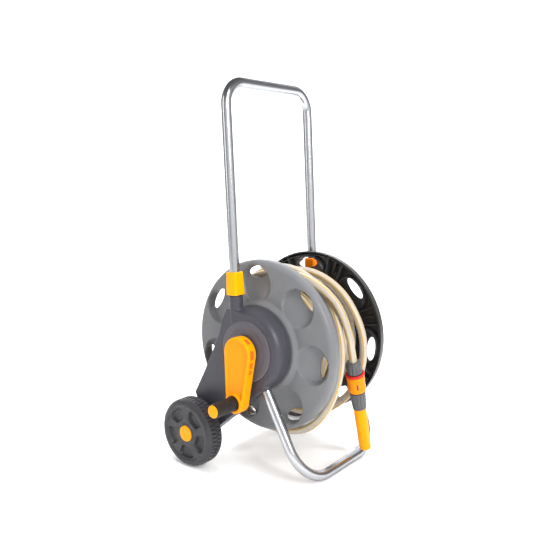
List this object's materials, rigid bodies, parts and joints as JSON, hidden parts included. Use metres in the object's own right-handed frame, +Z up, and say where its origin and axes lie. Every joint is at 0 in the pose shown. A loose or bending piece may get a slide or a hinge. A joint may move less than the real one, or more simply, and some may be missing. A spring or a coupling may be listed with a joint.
{
  "type": "garden hose reel cart",
  "caption": "Wheeled garden hose reel cart with crank drum, wound hose ending in a quick connector and jet nozzle, bent foot tube and tall sliding handle.",
  "frame": {"origin": "on the ground, under the middle of the box around the cart without the free hose end", "axes": "+Z up, +X towards the foot tube, -Y towards the crank"},
  "size_m": [0.4072, 0.465, 0.851],
  "materials": {
    "frame_plastic": "moulded, fine satin grain",
    "cover_plastic": "moulded, fine satin grain",
    "collar_plastic": "moulded, semi-gloss",
    "bush_plastic": "acetal, smooth",
    "fastener_steel": "zinc plated",
    "tube_aluminium": "drawn tube, satin",
    "axle_steel": "drawn tube",
    "wheel_plastic": "moulded, scuffed tread",
    "cap_plastic": "moulded, semi-gloss",
    "left_flange_plastic": "moulded, satin",
    "right_flange_plastic": "moulded, satin",
    "core_plastic": "moulded",
    "crank_plastic": "moulded, semi-gloss",
    "grip_plastic": "soft-touch",
    "seal_rubber": "moulded",
    "inlet_plastic": "moulded",
    "hose": "translucent knitted PVC, striped",
    "nut_plastic": "moulded, ribbed",
    "ring_plastic": "moulded",
    "sleeve_plastic": "moulded",
    "nozzle_plastic": "moulded"
  },
  "bodies": {
    "frame": {"left_side_frame": "frame_plastic", "right_side_frame": "frame_plastic", "left_hub_cover": "cover_plastic", "right_hub_cover": "cover_plastic", "left_collar": "collar_plastic", "right_collar": "collar_plastic", "left_bush": "bush_plastic", "right_bush": "bush_plastic", "left_foot_screw": "fastener_steel", "right_foot_screw": "fastener_steel", "foot_tube": "tube_aluminium", "axle": "axle_steel", "left_axle_clip": "fastener_steel", "right_axle_clip": "fastener_steel", "inlet_elbow": "inlet_plastic", "inlet_seal": "seal_rubber", "hose_tail": "hose", "hose_nut": "nut_plastic", "connector_core": "core_plastic", "nozzle_coupling": "nut_plastic"},
    "handle": {"handle_tube": "tube_aluminium", "left_handle_plug": "bush_plastic", "right_handle_plug": "bush_plastic"},
    "reel": {"left_flange": "left_flange_plastic", "right_flange": "right_flange_plastic", "drum_core": "core_plastic", "drive_shaft": "fastener_steel", "water_spindle": "core_plastic", "inner_hose_nut": "nut_plastic", "hose_coil": "hose", "crank_arm": "crank_plastic", "grip_pin": "fastener_steel"},
    "grip": {"crank_grip": "grip_plastic", "grip_cap": "cap_plastic"},
    "left_wheel": {"left_wheel": "wheel_plastic", "left_hub_cap": "cap_plastic"},
    "right_wheel": {"right_wheel": "wheel_plastic", "right_hub_cap": "cap_plastic"},
    "release_sleeve": {"connector_sleeve": "sleeve_plastic", "connector_ring": "ring_plastic"},
    "jet": {"nozzle_barrel": "nozzle_plastic"}
  },
  "joints": [
    {"name": "handle_slide", "type": "slide", "parent": "frame", "child": "handle", "axis": [-0.0511, 0, 0.9987], "range_m": [-0.15, 0]},
    {"name": "reel_turn", "type": "hinge", "parent": "frame", "child": "reel", "pos_m": [0.0095, 0.0185, 0.278], "axis": [0, 1, 0], "continuous": true},
    {"name": "grip_spin", "type": "hinge", "parent": "reel", "child": "grip", "pos_m": [0.001, -0.1815, 0.169], "axis": [0, 1, 0], "continuous": true},
    {"name": "left_wheel_roll", "type": "hinge", "parent": "frame", "child": "left_wheel", "pos_m": [-0.1225, -0.1755, 0.077], "axis": [0, 1, 0], "continuous": true},
    {"name": "right_wheel_roll", "type": "hinge", "parent": "frame", "child": "right_wheel", "pos_m": [-0.1225, 0.2125, 0.077], "axis": [0, 1, 0], "continuous": true},
    {"name": "release_slide", "type": "slide", "parent": "frame", "child": "release_sleeve", "axis": [0.0133, -0.2829, 0.9591], "range_m": [0, 0.0035], "stiffness_N_per_m": 1500},
    {"name": "jet_twist", "type": "hinge", "parent": "frame", "child": "jet", "pos_m": [0.18511, 0.05741, 0.08337], "axis": [-0.0133, 0.2829, -0.9591], "range_deg": [-180, 360]}
  ]
}
